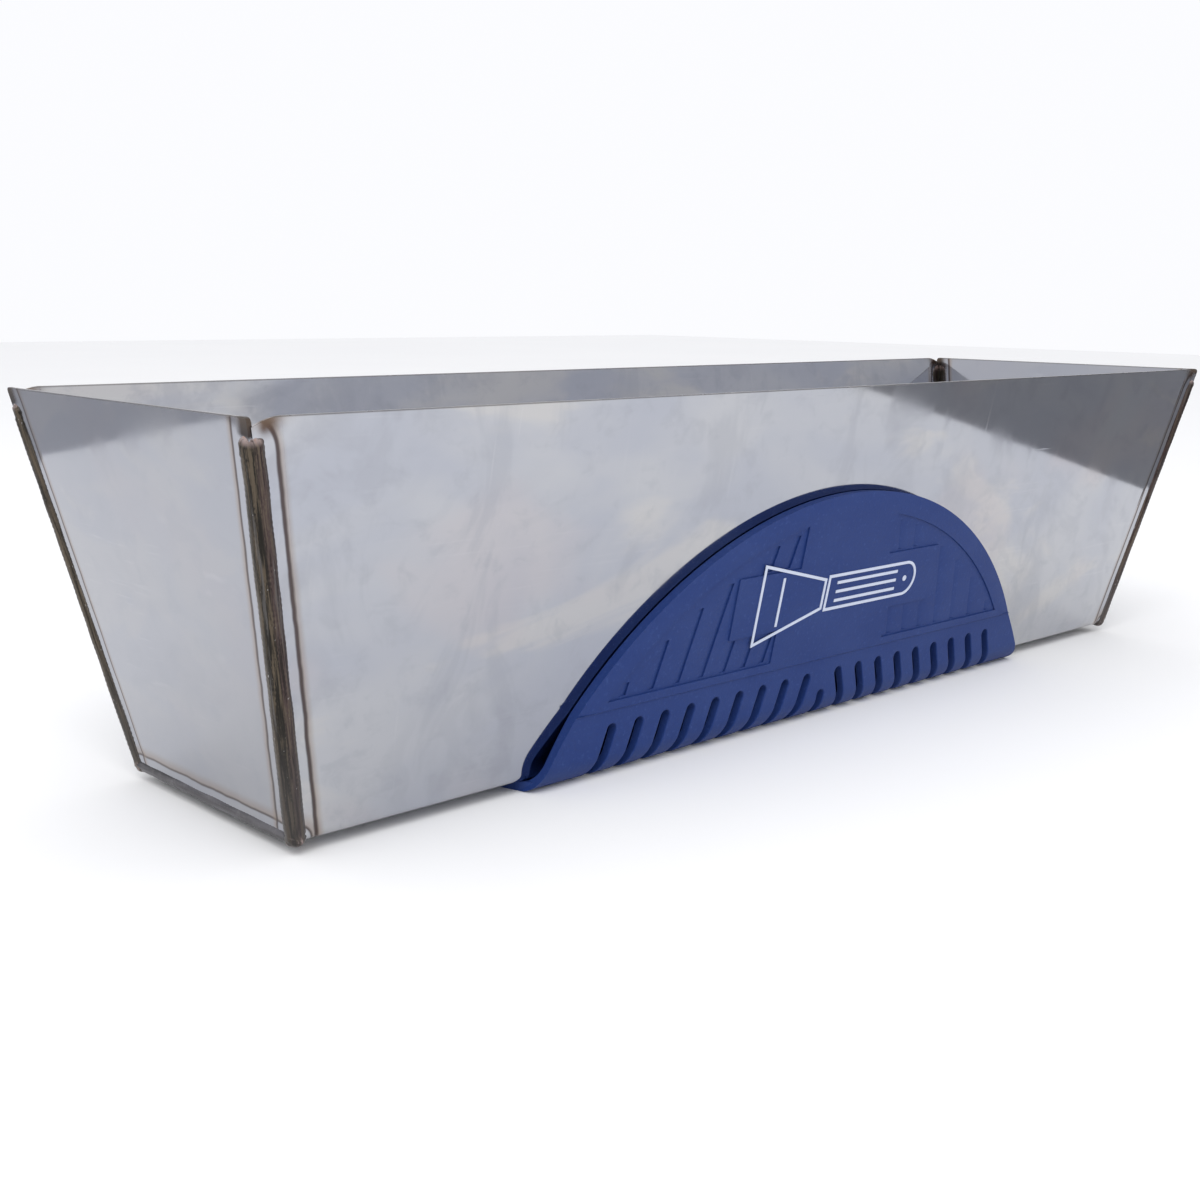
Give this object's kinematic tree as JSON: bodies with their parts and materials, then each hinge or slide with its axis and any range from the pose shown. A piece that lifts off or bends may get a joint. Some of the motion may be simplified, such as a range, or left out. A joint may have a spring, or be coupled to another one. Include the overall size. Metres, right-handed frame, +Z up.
{
  "type": "mud pan",
  "caption": "Long tapered steel trough with sloping walls, welded corners and a slotted moulded grip wrapped round its middle.",
  "frame": {"origin": "centre of the grip's flat underside, which the pan stands on", "axes": "+X along the pan's length, +Y towards the back long wall, +Z up out of the open top"},
  "size_m": [0.355, 0.1016, 0.0892],
  "materials": {
    "trough_steel": "mill finish stainless sheet, semi-bright with faint streaks",
    "end_steel": "mill finish stainless sheet, semi-bright, heat tinted near the welds",
    "weld_metal": "unpolished weld, dark brown and straw heat tint",
    "grip_plastic": "matte moulded elastomer with a fine grain",
    "adhesive": "thin pressure-sensitive adhesive layer",
    "ink": "white printed ink"
  },
  "bodies": {
    "root": {"pan_body": "trough_steel", "left_end_plate": "end_steel", "right_end_plate": "end_steel", "left_front_weld": "weld_metal", "left_bottom_weld": "weld_metal", "left_back_weld": "weld_metal", "right_front_weld": "weld_metal", "right_bottom_weld": "weld_metal", "right_back_weld": "weld_metal", "grip": "grip_plastic", "front_adhesive_pad": "adhesive", "bottom_adhesive_pad": "adhesive", "back_adhesive_pad": "adhesive", "printed_mark": "ink"}
  },
  "joints": []
}
